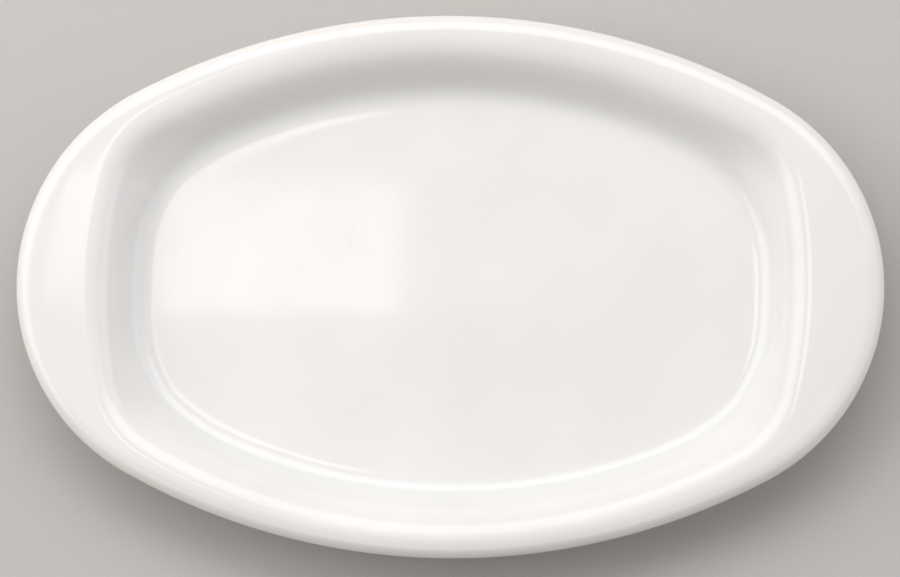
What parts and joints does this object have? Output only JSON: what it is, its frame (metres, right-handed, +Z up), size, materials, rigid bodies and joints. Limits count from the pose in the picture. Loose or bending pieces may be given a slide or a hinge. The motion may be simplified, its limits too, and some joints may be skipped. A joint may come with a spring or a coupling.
{
  "type": "oval serving platter",
  "caption": "Shallow oval serving platter in white glazed porcelain, with a straight-ended well, a rolled rim and a level crescent grip at each end.",
  "frame": {"origin": "on the table under the middle of the foot ring, at the centre of the platter's outline", "axes": "+X along the platter towards one end grip, +Y across it towards one long side, +Z up out of the well"},
  "size_m": [0.36, 0.227, 0.03],
  "materials": {
    "porcelain": "bare fired porcelain, matt, shows only on the foot ring",
    "glaze": "glossy white glaze"
  },
  "bodies": {
    "root": {"porcelain_body": "porcelain", "glaze_coat": "glaze", "base_glaze": "glaze"}
  },
  "joints": []
}
